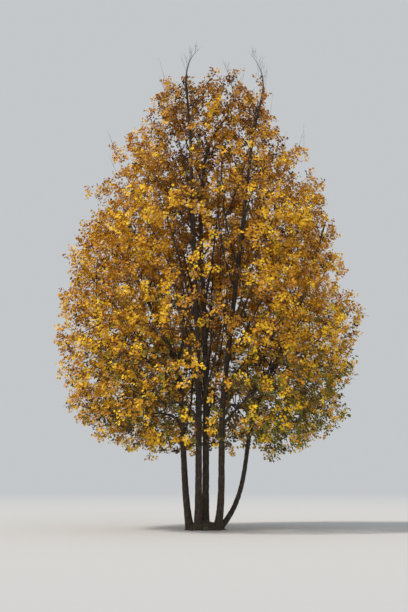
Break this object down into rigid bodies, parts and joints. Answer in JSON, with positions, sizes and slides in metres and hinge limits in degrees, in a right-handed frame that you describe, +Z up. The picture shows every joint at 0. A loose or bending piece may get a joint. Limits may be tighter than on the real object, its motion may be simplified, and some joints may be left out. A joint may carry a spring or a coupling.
{
  "type": "maple tree in autumn leaf, a clump of stems from one root",
  "caption": "Tall broadleaf tree in gold autumn leaf: a clump of slender stems fused at a flared root stool, ascending boughs and an egg-shaped crown of open leaf masses.",
  "frame": {"origin": "centre of the root stool's flat cut at ground level", "axes": "+Z up the tree, -Y towards the side that the reference view shows, +X to that view's right"},
  "size_m": [8.8879, 8.9708, 14],
  "materials": {
    "root_bark": "rough, dark and mossy",
    "stem_bark": "rough, finely ridged bark",
    "bough_bark": "smoother, thinner bark",
    "skirt_foliage": "satin, lemon gold autumn leaves",
    "belly_foliage": "satin, golden autumn leaves",
    "shoulder_foliage": "satin, amber autumn leaves",
    "neck_foliage": "satin, orange brown autumn leaves",
    "head_foliage": "satin, copper gold autumn leaves"
  },
  "bodies": {
    "root": {"root_stool": "root_bark", "stem_left": "stem_bark", "stem_mid_left": "stem_bark", "stem_mid_right": "stem_bark", "stem_right": "stem_bark", "stem_far_right": "stem_bark", "skirt_bough_1": "bough_bark", "skirt_bough_2": "bough_bark", "skirt_bough_3": "bough_bark", "skirt_bough_4": "bough_bark", "skirt_bough_5": "bough_bark", "skirt_bough_6": "bough_bark", "skirt_bough_7": "bough_bark", "belly_bough_1": "bough_bark", "belly_bough_2": "bough_bark", "belly_bough_3": "bough_bark", "belly_bough_4": "bough_bark", "belly_bough_5": "bough_bark", "belly_bough_6": "bough_bark", "belly_bough_7": "bough_bark", "shoulder_bough_2": "bough_bark", "shoulder_bough_3": "bough_bark", "shoulder_bough_5": "bough_bark", "shoulder_bough_6": "bough_bark", "neck_bough_1": "bough_bark", "neck_bough_2": "bough_bark", "neck_bough_3": "bough_bark", "neck_bough_4": "bough_bark", "neck_bough_5": "bough_bark", "head_bough_2": "bough_bark", "skirt_leaves_1": "skirt_foliage", "skirt_leaves_2": "skirt_foliage", "skirt_leaves_3": "skirt_foliage", "skirt_leaves_4": "skirt_foliage", "skirt_leaves_5": "skirt_foliage", "skirt_leaves_6": "skirt_foliage", "skirt_leaves_7": "skirt_foliage", "belly_leaves_1": "belly_foliage", "belly_leaves_2": "belly_foliage", "belly_leaves_3": "belly_foliage", "belly_leaves_4": "belly_foliage", "belly_leaves_5": "belly_foliage", "belly_leaves_6": "belly_foliage", "belly_leaves_7": "belly_foliage", "shoulder_leaves_1": "shoulder_foliage", "shoulder_leaves_2": "shoulder_foliage", "shoulder_leaves_3": "shoulder_foliage", "shoulder_leaves_4": "shoulder_foliage", "shoulder_leaves_5": "shoulder_foliage", "shoulder_leaves_6": "shoulder_foliage", "neck_leaves_1": "neck_foliage", "neck_leaves_2": "neck_foliage", "neck_leaves_3": "neck_foliage", "neck_leaves_4": "neck_foliage", "neck_leaves_5": "neck_foliage", "head_leaves_1": "head_foliage", "head_leaves_2": "head_foliage", "head_leaves_3": "head_foliage", "head_leaves_4": "head_foliage"}
  },
  "joints": []
}
